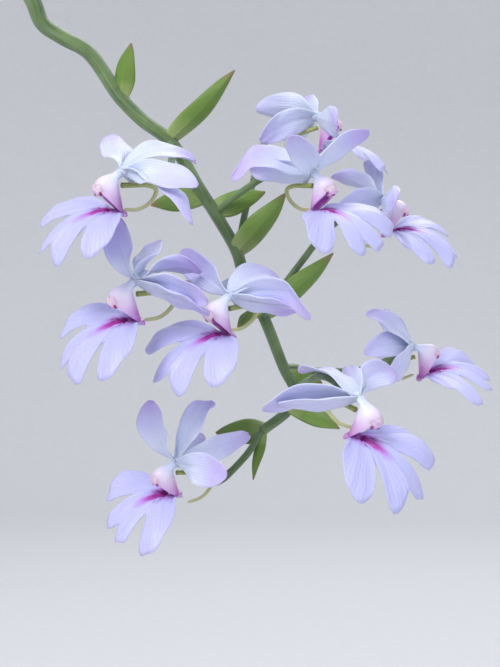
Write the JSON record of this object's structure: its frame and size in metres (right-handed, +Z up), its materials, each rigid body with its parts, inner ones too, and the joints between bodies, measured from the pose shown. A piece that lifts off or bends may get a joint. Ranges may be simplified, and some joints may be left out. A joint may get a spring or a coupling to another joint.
{
  "type": "potted calanthe orchid",
  "caption": "Potted calanthe orchid in flower: a clay pot of bark mix, ribbed pseudobulbs and one arching scape of lilac-white blooms with four-lobed, magenta-throated lips.",
  "frame": {"origin": "centre of the pot's flat underside", "axes": "+Z up through the pot's axis; the raceme arches over towards +X; -Y is the side from which the blooms are looked at"},
  "size_m": [0.3801, 0.136, 0.5008],
  "materials": {
    "pot": "matt terracotta",
    "medium": "rough bark chips",
    "bulb": "dull grey-green skin",
    "green": "satin green plant tissue",
    "tepal": "soft lilac-white petal",
    "lip": "soft lilac petal, magenta in the throat",
    "spur": "satin yellow-green plant tissue"
  },
  "bodies": {
    "root": {"pot": "pot", "growing_medium": "medium", "pseudobulb_1": "bulb", "pseudobulb_2": "bulb", "pseudobulb_3": "bulb", "scape": "green", "bloom_1_tepals": "tepal", "bloom_1_lip_and_column": "lip", "bloom_1_spur": "spur", "bloom_2_tepals": "tepal", "bloom_2_lip_and_column": "lip", "bloom_2_spur": "spur", "bloom_3_tepals": "tepal", "bloom_3_lip_and_column": "lip", "bloom_3_spur": "spur", "bloom_4_tepals": "tepal", "bloom_4_lip_and_column": "lip", "bloom_4_spur": "spur", "bloom_5_tepals": "tepal", "bloom_5_lip_and_column": "lip", "bloom_5_spur": "spur", "bloom_6_tepals": "tepal", "bloom_6_lip_and_column": "lip", "bloom_6_spur": "spur", "bloom_7_tepals": "tepal", "bloom_7_lip_and_column": "lip", "bloom_7_spur": "spur", "bloom_8_tepals": "tepal", "bloom_8_lip_and_column": "lip", "bloom_8_spur": "spur", "bloom_9_tepals": "tepal", "bloom_9_lip_and_column": "lip", "bloom_9_spur": "spur"}
  },
  "joints": []
}
